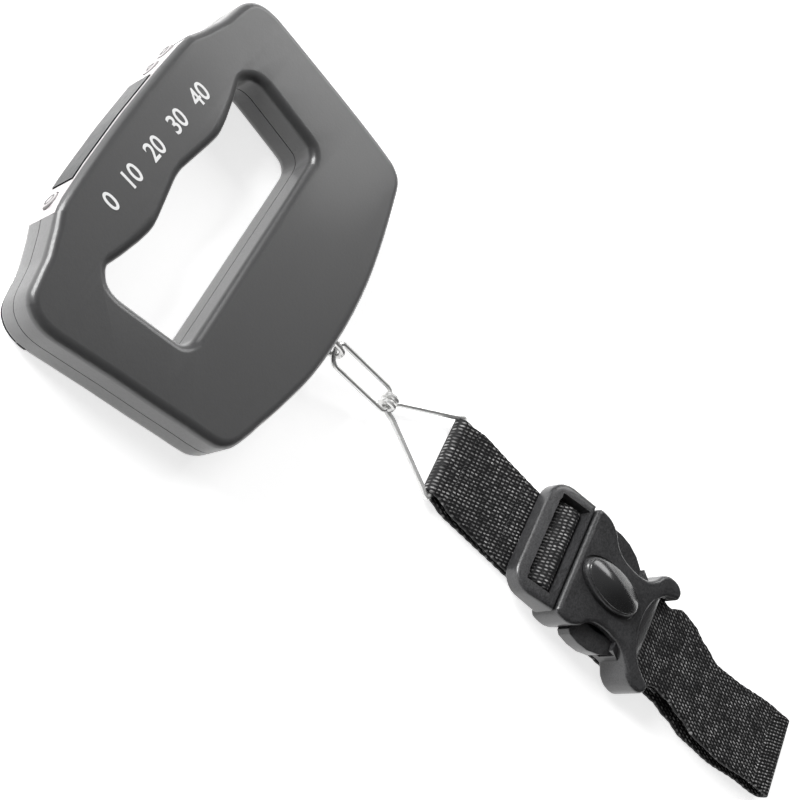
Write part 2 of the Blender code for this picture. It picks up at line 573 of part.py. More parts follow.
fold = tape("webbing_loop", fold_path, BUCKLE)
bar_v, bar_z, bar_r = TAIL_BAR
grip = bar_r + 0.2 + half
tail_path = ([(50.0, 4.6), (47.0, 4.45), (44.0, 4.3), (38.5, bar_z - grip + 0.05)]
             + [(bar_v + grip * math.cos(a), bar_z + grip * math.sin(a)) for a in
                [math.radians(-90 - 22.5 * i) for i in range(9)]]
             + [(38.5, bar_z + grip - 0.15), (44.0, 7.2), (48.0, 6.8), (52.0, 6.35), (66.0, 5.6), (80.0, 5.2),
                (FOLD_V - 7.6, low + 2 * FOLD_R + 0.1)])
tail_tape = tape("webbing_tail", tail_path, BUCKLE)
for item in (front_tape, fold, tail_tape):
    paint(item, (0.03, 0.03, 0.033), 0.0, 0.8)

# ---- buckle: male half --------------------------------------------------------------------
def flip(points):
    """(across, along) to the local frame, where along runs to -Y."""
    return [(u, -v) for u, v in points]


corner_r, frame_u, frame_edge = 6.0, 17.4, 1.6
frame_loop = [(frame_u - 0.3, 0.0), (frame_u, corner_r - FRAME_LENGTH)] + arc(
    frame_u - corner_r, corner_r - FRAME_LENGTH, corner_r, -15, -90, 5)
frame_loop = frame_loop + [(-u, v) for u, v in reversed(frame_loop)]
male = plate("buckle_male", [flip(frame_loop)], FRAME_Z[0], FRAME_Z[1], frame_edge, 2, BUCKLE)
for vertex in male.data.vertices:       # the top slopes down to the outer rail
    part = max(0.0, min(1.0, vertex.co.y / MM / FRAME_LENGTH))
    top = FRAME_Z[1] + (FRAME_TIP - FRAME_Z[1]) * part
    vertex.co.z = FRAME_Z[0] * MM + (vertex.co.z - FRAME_Z[0] * MM) * (top - FRAME_Z[0]) / (FRAME_Z[1] - FRAME_Z[0])
slot_u, slot_v = 13.9, (1.6, 10.9)
mouth = [(-slot_u, slot_v[0]), (slot_u, slot_v[0]), (slot_u, slot_v[1] - 2.4), (slot_u - 0.7, slot_v[1] - 0.7),
         (slot_u - 2.4, slot_v[1]), (2.4 - slot_u, slot_v[1]), (0.7 - slot_u, slot_v[1] - 0.7), (-slot_u, slot_v[1] - 2.4)]
for key, low_z, high_z in (("top", 6.2, 20.0), ("under", 0.0, 3.95)):
    boolean(male, plate("slot_" + key, [mouth], low_z, high_z, place=BUCKLE, home=CUTTERS))
for key, v0, v1 in (("outer", FRAME_BAR[1], slot_v[1] - 0.3), ("inner", slot_v[0], FRAME_BAR[0])):
    boolean(male, block("slot_" + key, (-slot_u, v0, 0), (slot_u, v1, 20), BUCKLE, CUTTERS))
boolean(male, block("root", (-12.6, -3.0, 5.0), (12.6, 0.7, 8.9), BUCKLE, CUTTERS), "UNION")
boolean(male, plate("guide", [flip([(-2.2, -1), (2.2, -1), (2.0, 20.5), (1.2, 22.5), (-1.2, 22.5), (-2.0, 20.5)])],
                    5.2, 8.7, 0.0, 1, BUCKLE, CUTTERS), "UNION")
paint(male, (0.04, 0.04, 0.042), 0.0, 0.4)

# ---- latch arms ---------------------------------------------------------------------------
ARM_ROOT = (9.0, 3.4)
for name, side in (("latch_arm_right", 1), ("latch_arm_left", -1)):
    place = BUCKLE @ Matrix.Translation((side * ARM_ROOT[0] * MM, -ARM_ROOT[1] * MM, 0.0))
    loop = [(side * (u - ARM_ROOT[0]), -(v - ARM_ROOT[1])) for u, v in ARM]
    arm = plate(name, [loop], 5.0, 9.4, 0.4, 1, place)
    paint(arm, (0.04, 0.04, 0.042), 0.0, 0.4)
    axis_mark(name + "_axis", place)

# ---- buckle: female half ------------------------------------------------------------------
outline = smooth(flip(mirror_loop(PLATE)), 4, 0.05)
female = plate("buckle_female", [[(x, y - 0.3) for x, y in outline]], PLATE_Z[0], PLATE_Z[1], 1.2, 2, BUCKLE)
deck = [(24.0, 2.4), (31.6, 3.1), (31.6, 7.9), (24.0, 11.4)]
boolean(female, plate("deck", [deck], -13.3, 13.3, place=BUCKLE, home=CUTTERS, axis="X"), "UNION")
boolean(female, block("tape_gap", (-13.1, -45.0, -1.0), (13.1, -31.7, 9.3), BUCKLE, CUTTERS))
boolean(female, rod("tail_bar", (-14.6, -bar_v, bar_z), (14.6, -bar_v, bar_z), bar_r, BUCKLE, CUTTERS, 20), "UNION")
boolean(female, plate("pocket", [flip([(-13.9, -3), (13.9, -3), (13.9, 24.5), (11.5, 27.4), (-11.5, 27.4), (-13.9, 24.5)])],
                      POCKET_Z[0], POCKET_Z[1], place=BUCKLE, home=CUTTERS))
for side in (-1, 1):
    window = [(12.0, 8.0), (24.0, 8.0), (24.0, 27.6), (17.0, 27.6), (12.0, 26.0)]
    boolean(female, plate("side_window_%d" % side, [flip([(side * u, v) for u, v in window])], POCKET_Z[0] - 0.15,
                          POCKET_Z[1] + 0.15, place=BUCKLE, home=CUTTERS))


def ellipse(grow):
    """The boss outline, made larger by grow."""
    return [((BOSS[0] + grow) * math.cos(t), -BOSS_V + (BOSS[1] + grow) * math.sin(t))
            for t in [math.radians(12 * i) for i in range(30)]]


boolean(female, plate("boss_groove", [ellipse(0.75)], PLATE_Z[1] - 0.5, 20.0, place=BUCKLE, home=CUTTERS))
boolean(female, plate("boss", [ellipse(0.0)], 10.9, BOSS_TOP, 1.3, 3, BUCKLE, CUTTERS), "UNION")
paint(female, (0.04, 0.04, 0.042), 0.0, 0.4)
axis_mark("release_axis", BUCKLE)
axis_mark("link_axis", LINK_FRAME)
axis_mark("ring_axis", RING_FRAME)
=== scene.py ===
import math

import bmesh
import bpy
from bpy.props import FloatProperty, FloatVectorProperty, IntProperty, PointerProperty, StringProperty
from bpy.types import Operator, Panel, PropertyGroup
from mathutils import Euler, Matrix, Vector


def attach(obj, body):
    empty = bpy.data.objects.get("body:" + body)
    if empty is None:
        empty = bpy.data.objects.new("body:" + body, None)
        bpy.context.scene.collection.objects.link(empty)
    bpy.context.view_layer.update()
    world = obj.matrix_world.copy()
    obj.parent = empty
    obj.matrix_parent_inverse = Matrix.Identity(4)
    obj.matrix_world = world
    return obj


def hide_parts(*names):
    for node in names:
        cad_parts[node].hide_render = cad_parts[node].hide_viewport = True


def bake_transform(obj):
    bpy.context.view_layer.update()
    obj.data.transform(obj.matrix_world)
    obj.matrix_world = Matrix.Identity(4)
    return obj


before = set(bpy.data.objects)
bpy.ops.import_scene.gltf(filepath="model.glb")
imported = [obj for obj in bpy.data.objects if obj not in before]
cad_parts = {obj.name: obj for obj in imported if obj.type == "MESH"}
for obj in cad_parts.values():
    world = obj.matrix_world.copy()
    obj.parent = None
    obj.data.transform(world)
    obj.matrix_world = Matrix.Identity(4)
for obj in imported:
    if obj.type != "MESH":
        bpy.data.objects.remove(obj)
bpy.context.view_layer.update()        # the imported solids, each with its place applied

bl_info = {
    "name": "Digital Luggage Scale",
    "version": (1, 0, 0),
    "blender": (4, 5, 0),
    "location": "View3D > Sidebar > Luggage Scale",
    "description": "Finishes and webbing for a digital luggage scale lying on its back",
    "category": "Object",
}

MM = 0.001

# ---- places shared with the solids, in millimetres -------------------------------------------
SHIFT = (-0.05, 135.03)              # drawing origin to the row frame
THICK = 15.6                         # height of the front face above the floor
CROWN = [(0, 2.6), (15, 2.3), (27, 1.6), (30.5, 0.6)]
BUTTONS = {"left": -24.6, "centre": 19.4, "right": 25.8}
BUTTON_Z, BUTTON_TOP = 8.0, 0.35
RING_BAR = (4.835, -120.382, 2.4)    # middle of the ring's base bar
RING_R = 0.8
RING_YAW = 1.8
BUCKLE_AT, BUCKLE_YAW = (5.6, -165.0), 0.8
FRAME_BAR_V = -5.95                  # middle of the bar that holds the webbing
FOLD_V, FOLD_R = 104.6, 2.15
TAIL_BAR = (35.2, 6.0, 1.35)
TAIL_BEND, TAIL_YAW = 41.0, 2.6      # beyond the buckle the webbing turns to this direction
BOSS, BOSS_V, BOSS_Z, BOSS_RISE = (5.3, 10.5), 13.8, 14.15, 1.35
LIP_V, LIP_CURVE, LIP_HALF = 28.2, 0.0335, 12.6      # the arc that the plate ends in
LIP_REACH, LIP_Z = 5.6, (12.38, 10.9)
LIP_BEND, LIP_WALL = 1.6, (2.4, 0.9)                 # its slope's power, its depth at root and tip
RUN_END = FOLD_V - 7.3               # where the long tape hands over to the tail tape
V_RING = -math.hypot(BUCKLE_AT[0] - RING_BAR[0], BUCKLE_AT[1] - RING_BAR[1])
FRONT_BEND = -16.0                   # before the buckle the webbing turns towards the ring
TAIL_TURN = 11.0                     # length over which it turns beyond the buckle
FLOOR_GAP, RING_GAP, BAR_GAP = 0.02, 0.18, 0.2       # between the tape and what it lies on or wraps
END_RISE = 0.1                       # how far the tape has risen where the two tapes meet
BLEND_V = (2.0, FOLD_V - 9.0, 56.0)  # three places along the tape whose points are worked out but not used

# how the limp tape lies: sideways sway in millimetres, and its share of the full width
SWAY = [(40.0, 0.0), (48.0, 3.2), (54.0, 2.9), (61.0, 1.2), (69.0, -0.6), (78.0, -0.3),
        (99.0, 1.9), (108.0, 2.4)]
NARROW = [(V_RING + 1.5, 0.92), (V_RING + 8.0, 1.0), (50.0, 1.0), (67.0, 0.93), (88.0, 1.0)]

# how the tape is drawn and woven
TAPE_STEP, TAPE_COLUMNS = 0.5, 30    # length of a mesh row, and columns across
TAPE_EDGE = [(1.018, 0.55), (1.024, 0.0), (1.018, -0.55)]   # rounded edge, in half widths and thicknesses
EDGE_WAVE = 0.07                     # how far each row of the weave stands out at the edge
UV_UNIT = 0.1                        # metres of tape in one unit of its UV map
FLECK, FLECK_LEAN = (0.31, 0.47), 0.30       # half width and half length of each painted highlight fleck, as shares of a cell

# stitches across the tape
FRONT_ROWS = [(-19.3, 3.50), (V_RING + 4.6, 4.55)]   # rows at (v, z)
TAIL_ROWS = [(42.6, 7.98)]
STITCH_REACH, STITCH_COUNT = 11.9, 22        # half the length of a row, and stitches in it
THREAD_R, STITCH_STRETCH = 0.14, 3.0         # a stitch is a ball of thread drawn out this many times

# what is printed on the grip, in the row frame, and on the buttons' end faces
PRINT_AT, PRINT_TURN = (0.3, 127.1), -2.6
PRINT_DEPTH, PRINT_WEIGHT = 0.03, 0.012      # the weight widens the strokes
MARK_RADII, MARK_GAP, MARK_DEPTH = (1.15, 1.5), 0.01, 0.04
MARK_SIDES = {"left": 40, "centre": 3, "right": 4}   # a ring, a triangle and a square

# colours of the pieces inside and of the marks
DISPLAY_GREY = (0.33, 0.37, 0.31)
CHIP_BLACK = (0.02, 0.02, 0.02)
BOARD_GREEN = (0.015, 0.16, 0.07)
GAUGE_AMBER = (0.70, 0.40, 0.08)
ZINC = (0.34, 0.34, 0.35)
ALUMINIUM = (0.72, 0.73, 0.75)
STEEL = (0.70, 0.70, 0.70)
BRASS = (0.78, 0.66, 0.38)
MARK_GREY = (0.05, 0.05, 0.055)

# CAD nodes are loose triangles: corners this near, in metres, are joined, and edges that turn by
# fewer degrees than this are shaded smooth
WELD, SHARP = 2e-6, 33.0

# the studio, in metres and degrees, with the camera where the photograph was taken from
FLOOR_REACH, FLOOR_Z = 12.0, -0.0004
FLOOR_SEEN, FLOOR_MIRRORED = 0.70, 0.95      # light the paper adds for the camera and in reflections
LAMP_AIM = (0.0, 0.05, 0.0)
KEY_SIZE, KEY_AT = 0.60, (0.15, 1.10, 0.44)
SWEEP_SIZE, SWEEP_AT = 0.70, (1.10, -0.05, 0.80)
SKY_SPAN, SKY_LEVELS = (-0.7, 0.9), (0.35, 1.75)     # the sky is brighter beyond the crown
CAMERA_AT = (-0.203868, 0.203664, 0.300948)
CAMERA_TURN = (12.5042, -40.4663, -57.4153)
FRAME_HEIGHT = 36.0                  # of the camera's sensor, in millimetres


# ---- settings that a user would change -------------------------------------------------------
def colour(name, description, default):
    """A colour in the sidebar."""
    return FloatVectorProperty(name=name, description=description, subtype="COLOR", size=3,
                               min=0.0, max=1.0, default=default)


def length(name, description, default):
    """A length in the sidebar, in metres."""
    return FloatProperty(name=name, description=description, subtype="DISTANCE", unit="LENGTH",
                         min=0.0, default=default)


class ScaleFinish(PropertyGroup):
    """Colours of the case, the buckle and the metal."""
    case: colour("Case", "Soft-touch black of the two shells", (0.0185, 0.0185, 0.0195))
    panel: colour("Top panel", "Pale panel round the display", (0.50, 0.475, 0.48))
    lens: colour("Lens", "Dark display lens", (0.013, 0.015, 0.016))
    button: colour("Buttons", "Push buttons", (0.38, 0.365, 0.365))
    buckle: colour("Buckle", "Moulded buckle", (0.034, 0.034, 0.0355))
    wire: colour("Wire", "Nickel of the link and the ring", (0.90, 0.90, 0.89))
    numbers: colour("Numbers", "Printed numbers on the grip", (0.86, 0.86, 0.86))


class TapeSettings(PropertyGroup):
    """Size and weave of the webbing."""
    width: length("Width", "Width of the tape", 0.025)
    thickness: length("Thickness", "Thickness of the tape", 0.0013)
    row: length("Row pitch", "Distance between rows of the weave", 0.00148)
    rib: length("Rib pitch", "Distance between ribs across the tape", 0.00106)
    dark: colour("Yarn", "Colour of the yarn", (0.008, 0.008, 0.0087))
    # painted highlight: the fleck colour stands in for light caught by the yarn
    light: colour("Fleck", "Where the yarn catches the light", (0.52, 0.515, 0.515))
    stitch: colour("Thread", "Colour of the stitching", (0.035, 0.035, 0.036))
    sides: IntProperty(name="Thread sides", description="Faces round a thread", min=4, default=6)


class GripPrint(PropertyGroup):
    """Plain numbers on the grip."""
    words: StringProperty(name="Numbers", description="Generic numbers printed on the grip",
                          default="0   10   20   30   40")
    height: length("Height", "Height of the figures", 0.0048)
    run: length("Run", "Length of the whole line", 0.041)


class StudioSettings(PropertyGroup):
    """Floor, lights and camera."""
    key: FloatProperty(name="Key light", description="Power of the low light beyond the crown",
                       unit="POWER", min=0.0, default=20.0)
    sweep: FloatProperty(name="Sweep light", description="Power of the light along the face",
                         unit="POWER", min=0.0, default=6.4)
    sky: FloatProperty(name="Sky", description="Strength of the surroundings", min=0.0, default=0.19)
    lens: FloatProperty(name="Focal length", description="Camera lens", unit="CAMERA",
                        min=1.0, default=71.59)


def settings():
    """The sidebar's settings, kept on the scene."""
    return bpy.context.scene.luggage_scale


# ---- shader helpers --------------------------------------------------------------------------
class Finish:
    """A procedural material built on one Principled shader."""

    def __init__(self, name):
        self.material = bpy.data.materials.new(name)
        self.material.use_nodes = True
        self.tree = self.material.node_tree
        self.shader = self.tree.nodes["Principled BSDF"]

    def node(self, kind, inputs=(), **values):
        """A new shader node with its inputs fed and its other values set."""
        item = self.tree.nodes.new("ShaderNode" + kind)
        for key, value in values.items():
            setattr(item, key, value)
        for key, value in dict(inputs).items():
            self.feed(value, item.inputs[key])
        return item

    def feed(self, value, socket):
        """Link another node's output to a socket, or write a plain value or colour into it."""
        if isinstance(value, bpy.types.NodeSocket):
            self.tree.links.new(value, socket)
        elif socket.type == "RGBA":
            socket.default_value = (*value, 1.0)
        else:
            socket.default_value = value

    def set(self, **values):
        """Set or link sockets of the shader; an underscore stands for a space."""
        for key, value in values.items():
            self.feed(value, self.shader.inputs[key.replace("_", " ")])

    def math(self, operation, a, b=0.0, clamp=False):
        """One sum on two values."""
        item = self.node("Math", {0: a, 1: b}, operation=operation, use_clamp=clamp)
        return item.outputs[0]

    def place(self):
        """Object coordinates, in metres."""
        return self.node("TexCoord").outputs["Object"]

    def noise(self, scale, detail=3.0, rough=0.5, stretch=None):
        """Cloudy noise, drawn out along an axis where stretch is small."""
        vector = self.place()
        if stretch:
            vector = self.node("Mapping", {"Vector": vector, "Scale": stretch}).outputs[0]
        item = self.node("TexNoise", {"Vector": vector, "Scale": scale, "Detail": detail,
                                      "Roughness": rough})
        return item.outputs[0]

    def spread(self, value, low, high, to_low, to_high):
        """A value mapped from one range to another."""
        item = self.node("MapRange", {0: value, 1: low, 2: high, 3: to_low, 4: to_high})
        return item.outputs[0]

    def blend(self, factor, first, second):
        """A colour between two others."""
        item = self.node("Mix", {0: factor}, data_type="RGBA")
        self.feed(first, item.inputs[6])
        self.feed(second, item.inputs[7])
        return item.outputs[2]

    def bump(self, height, strength, distance):
        """The surface's direction, roughened by a height in metres."""
        item = self.node("Bump", {"Height": height, "Strength": strength, "Distance": distance})
        return item.outputs[0]


def shade(value, factor):
    """A colour made darker or paler."""
    return tuple(min(1.0, part * factor) for part in value)


def moulded(name, base, roughness, grain, depth, variation=0.12, coat=0.0, sheen=0.0, ior=1.5):
    """Moulded or painted plastic with a fine grain."""
    finish = Finish(name)
    cloud = finish.noise(45.0, 4.0)
    speck = finish.noise(grain, 2.0, 0.6)
    tone = finish.math("ADD", finish.math("MULTIPLY", cloud, 0.6), finish.math("MULTIPLY", speck, 0.4))
    tone = finish.spread(tone, 0.35, 0.65, 0.0, 1.0)
    finish.set(Base_Color=finish.blend(tone, shade(base, 1.0 - variation), shade(base, 1.0 + variation)),
               Roughness=finish.spread(speck, 0.3, 0.7, roughness - 0.05, roughness + 0.07),
               IOR=ior, Coat_Weight=coat, Coat_Roughness=0.12,
               Sheen_Weight=sheen, Sheen_Roughness=0.55,
               Normal=finish.bump(speck, 0.35, depth))
    return finish.material


def metal(name, base, roughness, scale=600.0, stretch=(1.0, 1.0, 1.0), bare=1.0):
    """Bare or plated metal with faint drawn lines."""
    finish = Finish(name)
    line = finish.noise(scale, 4.0, 0.6, stretch)
    finish.set(Base_Color=finish.blend(line, shade(base, 0.86), shade(base, 1.08)), Metallic=bare,
               Roughness=finish.spread(line, 0.3, 0.7, roughness * 0.8, roughness * 1.3),
               Normal=finish.bump(line, 0.25, 0.00002))
    return finish.material


def buckle_finish(base):
    """Fine spark-eroded grain."""
    finish = Finish("buckle_moulded")
    speck = finish.noise(2300.0, 2.0, 0.65)
    cloud = finish.noise(120.0, 3.0)
    tone = finish.spread(finish.math("ADD", finish.math("MULTIPLY", speck, 0.75),
                                     finish.math("MULTIPLY", cloud, 0.25)), 0.38, 0.62, 0.0, 1.0)
    finish.set(Base_Color=finish.blend(tone, shade(base, 0.55), shade(base, 1.6)),
               Roughness=finish.spread(speck, 0.3, 0.7, 0.28, 0.46), Specular_IOR_Level=0.6,
               Coat_Weight=0.30, Coat_Roughness=0.12, Normal=finish.bump(speck, 0.6, 0.00007))
    return finish.material


def boss_finish(base):
    """The polished oval; the bump rounds its low crown further."""
    finish = Finish("boss_gloss")
    x, y = buckle_point(0.0, BOSS_V)
    spot = finish.node("Mapping", {"Vector": finish.place(), "Location": (x * MM, y * MM, 0.0),
                                   "Rotation": (0.0, 0.0, math.radians(BUCKLE_YAW)),
                                   "Scale": (BOSS[0] * MM, BOSS[1] * MM, 1.0)}, vector_type="TEXTURE")
    split = finish.node("SeparateXYZ", {0: spot.outputs[0]})
    reach = finish.math("ADD", finish.math("POWER", split.outputs[0], 2.0),
                        finish.math("POWER", split.outputs[1], 2.0))
    inside = finish.math("SUBTRACT", 1.0, reach, clamp=True)
    cloud = finish.noise(300.0, 2.0)
    finish.set(Base_Color=finish.blend(cloud, shade(base, 0.5), shade(base, 0.8)),
               Roughness=finish.spread(cloud, 0.3, 0.7, 0.20, 0.26), Specular_IOR_Level=1.0,
               Normal=finish.bump(finish.math("POWER", inside, 1.6), 1.0, 0.0018))
    return finish.material


def weave_finish(tape):
    """Staggered rows of short painted highlights where the yarn catches the light, each of its own
    brightness, on the tape's own UV map.
    """
    finish = Finish("tape_weave")
    uv = finish.node("SeparateXYZ", {0: finish.node("UVMap", uv_map="weave").outputs[0]})
    drift = finish.noise(420.0, 2.0)
    rows = finish.math("ADD", finish.math("DIVIDE", uv.outputs[1], tape.row / UV_UNIT),
                       finish.spread(drift, 0.3, 0.7, -0.22, 0.22))
    index = finish.math("FLOOR", rows)
    odd = finish.math("MODULO", finish.math("ABSOLUTE", index), 2.0)
    across = finish.math("ADD", finish.math("DIVIDE", uv.outputs[0], tape.rib / UV_UNIT),
                         finish.math("MULTIPLY", odd, 0.5))
    down = finish.math("SUBTRACT", finish.math("FRACT", rows), 0.5)
    side = finish.math("SUBTRACT", finish.math("FRACT", across), 0.5)
    lean = finish.math("ADD", side, finish.math("MULTIPLY", down, FLECK_LEAN))
    oval = finish.math("ADD", finish.math("POWER", finish.math("DIVIDE", lean, FLECK[0]), 2.0),
                       finish.math("POWER", finish.math("DIVIDE", down, FLECK[1]), 2.0))
    hump = finish.math("SUBTRACT", 1.0, oval, clamp=True)
    cell = finish.node("CombineXYZ", {0: finish.math("FLOOR", across), 1: index})
    own = finish.node("TexWhiteNoise", {"Vector": cell.outputs[0]}).outputs["Value"]
    # painted highlight: this noise makes the flecks paler in some patches and darker in others
    glint_patches = finish.noise(160.0, 2.0)
    fibre = finish.noise(5200.0, 2.0)
    # how strongly each fleck's painted highlight is mixed into the base colour
    bright = finish.math("MULTIPLY", finish.math("POWER", hump, 1.2),
                         finish.math("MULTIPLY", finish.spread(own, 0.0, 1.0, 0.12, 1.1),
                                     finish.spread(glint_patches, 0.35, 0.65, 0.5, 1.1)), clamp=True)
    height = finish.math("ADD", hump, finish.math("MULTIPLY", fibre, 0.35))
    finish.set(Base_Color=finish.blend(bright, tuple(tape.dark), tuple(tape.light)),
               Roughness=finish.spread(fibre, 0.3, 0.7, 0.50, 0.72),
               Specular_IOR_Level=0.30, Normal=finish.bump(height, 0.9, 0.00024))
    return finish.material


def thread_finish(base):
    """Dark twisted thread."""
    finish = Finish("stitch_thread")
    twist = finish.noise(3000.0, 2.0)
    finish.set(Base_Color=finish.blend(twist, shade(base, 0.6), shade(base, 1.6)),
               Roughness=0.6, Normal=finish.bump(twist, 0.5, 0.0001))
    return finish.material


def print_finish(base):
    """Thin matt ink."""
    finish = Finish("print_ink")
    ink = finish.noise(700.0, 3.0)
    finish.set(Base_Color=finish.blend(ink, shade(base, 0.93), shade(base, 1.04)),
               Roughness=finish.spread(ink, 0.3, 0.7, 0.45, 0.6), Normal=finish.bump(ink, 0.2, 0.00002))
    return finish.material


# ---- mesh helpers ----------------------------------------------------------------------------
def linked(name, data):
    """A new object in the scene, at the origin."""
    item = bpy.data.objects.new(name, data)
    bpy.context.scene.collection.objects.link(item)
    return item


def object_from(name, vertices, faces, uvs=None):
    """A new object from points and faces, with the weave's UV map if it has one."""
    mesh = bpy.data.meshes.new(name)
    mesh.from_pydata(vertices, [], faces)
    if uvs:
        layer = mesh.uv_layers.new(name="weave")
        for loop in mesh.loops:
            layer.data[loop.index].uv = uvs[loop.vertex_index]
    mesh.validate()
    return linked(name, mesh)


def turn_out(item):
    """Make every face of a closed mesh point outwards."""
    work = bmesh.new()
    work.from_mesh(item.data)
    bmesh.ops.recalc_face_normals(work, faces=work.faces)
    work.to_mesh(item.data)
    work.free()


def loft(size, count):
    """Faces of a closed bar of count rings with size points each, both ends capped."""
    faces = []
    for k in range(count - 1):
        for index in range(size):
            a, b = k * size + index, k * size + (index + 1) % size
            faces.append((a, a + size, b + size, b))
    return faces + [tuple(range(size)), tuple(reversed(range((count - 1) * size, count * size)))]


def smooth_all(item):
    """Shade every face of a mesh smooth."""
    for face in item.data.polygons:
        face.use_smooth = True


def baked(item):
    """Turn what the object's modifiers make into a plain mesh, with its place applied."""
    graph = bpy.context.evaluated_depsgraph_get()
    graph.update()
    mesh = bpy.data.meshes.new_from_object(item.evaluated_get(graph))
    mesh.transform(item.matrix_world)
    name = item.name
    bpy.data.objects.remove(item, do_unlink=True)
    return linked(name, mesh)


def crown(x):
    """How far the panel on the crown bulges at x, from the drawing's line."""
    for (x0, y0), (x1, y1) in zip(CROWN, CROWN[1:]):
        if x0 <= abs(x) <= x1:
            return y0 + (y1 - y0) * (abs(x) - x0) / (x1 - x0)
    return 0.0


def soft_edges():
    """A Geometry Nodes group that joins a CAD node's loose triangles and shades its rounds smooth."""
    group = bpy.data.node_groups.new("soft_edges", "GeometryNodeTree")
    group.interface.new_socket("Geometry", in_out="INPUT", socket_type="NodeSocketGeometry")
    for name, value in (("Weld", WELD), ("Sharp angle", math.radians(SHARP))):
        socket = group.interface.new_socket(name, in_out="INPUT", socket_type="NodeSocketFloat")
        socket.default_value = value
    group.interface.new_socket("Geometry", in_out="OUTPUT", socket_type="NodeSocketGeometry")
    add, link = group.nodes.new, group.links.new
    start, end = add("NodeGroupInput"), add("NodeGroupOutput")
    merge = add("GeometryNodeMergeByDistance")
    angle = add("GeometryNodeInputMeshEdgeAngle")
    sharp = add("FunctionNodeCompare")
    sharp.operation = "GREATER_THAN"
    faces, edges = add("GeometryNodeSetShadeSmooth"), add("GeometryNodeSetShadeSmooth")
    edges.domain = "EDGE"
    edges.inputs["Shade Smooth"].default_value = False
    link(start.outputs["Geometry"], merge.inputs["Geometry"])
    link(start.outputs["Weld"], merge.inputs["Distance"])
    link(start.outputs["Sharp angle"], sharp.inputs[1])
    link(merge.outputs[0], faces.inputs["Geometry"])
    link(faces.outputs[0], edges.inputs["Geometry"])
    link(angle.outputs["Unsigned Angle"], sharp.inputs[0])
    link(sharp.outputs[0], edges.inputs["Selection"])
    link(edges.outputs[0], end.inputs[0])
    return group


def dress(material, *nodes):
    """Give CAD nodes their material and shade their rounded edges smooth."""
    group = bpy.data.node_groups.get("soft_edges") or soft_edges()
    for name in nodes:
        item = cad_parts[name]
        item.data.materials.clear()
        item.data.materials.append(material)
        item.modifiers.new("soft_edges", "NODES").node_group = group
        item.modifiers.new("flat_faces", "WEIGHTED_NORMAL").keep_sharp = True


# ---- the tape's route ------------------------------------------------------------------------
def buckle_point(u, v):
    """Row-frame x and y, in millimetres, of a point across and along the buckle."""
    turn = math.radians(BUCKLE_YAW)
    return (BUCKLE_AT[0] + SHIFT[0] + u * math.cos(turn) + v * math.sin(turn),
            BUCKLE_AT[1] + SHIFT[1] + u * math.sin(turn) - v * math.cos(turn))


def centre(v):
    """Plan position of the tape's centre line, in the row frame."""
    if v > TAIL_BEND:
        (x1, y1), tail = buckle_point(0.0, TAIL_BEND), math.radians(TAIL_YAW)
        return x1 + (v - TAIL_BEND) * math.sin(tail), y1 - (v - TAIL_BEND) * math.cos(tail)
    if v >= FRONT_BEND:
        return buckle_point(0.0, v)
    (x1, y1), x0, y0 = buckle_point(0.0, FRONT_BEND), RING_BAR[0] + SHIFT[0], RING_BAR[1] + SHIFT[1]
    t = (v - FRONT_BEND) / (V_RING - FRONT_BEND)
    return x1 + (x0 - x1) * t, y1 + (y0 - y1) * t


def across(v):
    """Direction across the tape at v: square to the ring, then to the buckle, then to the tail."""
    if v > TAIL_BEND:
        return math.radians(BUCKLE_YAW + (TAIL_YAW - BUCKLE_YAW) * min(1.0, (v - TAIL_BEND) / TAIL_TURN))
    t = max(0.0, min(1.0, (v - FRONT_BEND) / (V_RING - FRONT_BEND)))
    return math.radians(BUCKLE_YAW + (RING_YAW - BUCKLE_YAW) * t)


def eased(table, v):
    """A value eased from one (v, value) pair to the next."""
    for (v0, a), (v1, b) in zip(table, table[1:]):
        if v < v1:
            t = max(0.0, min(1.0, (v - v0) / (v1 - v0)))
            return a + (b - a) * t * t * (3.0 - 2.0 * t)
    return table[-1][1]


def half_width(v, width):
    """Half the tape's width at v: gathered at the ring, and drawn in a little beyond the buckle."""
    return width / 2.0 * eased(NARROW, v)


def sample(points, step):
    """Evenly spaced points on a smooth curve through the given ones, and its length."""
    knots = [points[0]] + list(points) + [points[-1]]
    dense = []
    for i in range(1, len(knots) - 2):
        p0, p1, p2, p3 = [Vector(knots[i + k]) for k in (-1, 0, 1, 2)]
        for k in range(10):
            t = k / 10.0
            dense.append(0.5 * ((2 * p1) + (p2 - p0) * t + (2 * p0 - 5 * p1 + 4 * p2 - p3) * t * t
                                + (3 * p1 - p0 - 3 * p2 + p3) * t ** 3))
    dense.append(Vector(points[-1]))
    total = sum((b - a).length for a, b in zip(dense, dense[1:]))
    count = max(2, round(total / step))
    result, travelled, index = [dense[0]], 0.0, 0
    for k in range(1, count):
        target = total * k / count
        while travelled + (dense[index + 1] - dense[index]).length < target:
            travelled += (dense[index + 1] - dense[index]).length
            index += 1
        span = (dense[index + 1] - dense[index]).length
        result.append(dense[index].lerp(dense[index + 1], (target - travelled) / span))
    return result + [dense[-1]], total


def tape_section():
    """Outline of the tape's section, as shares of its half width and half thickness."""
    half = [(-1.0 + 2.0 * k / TAPE_COLUMNS, 1.0) for k in range(TAPE_COLUMNS + 1)] + TAPE_EDGE
    return half + [(-side, -level) for side, level in half]


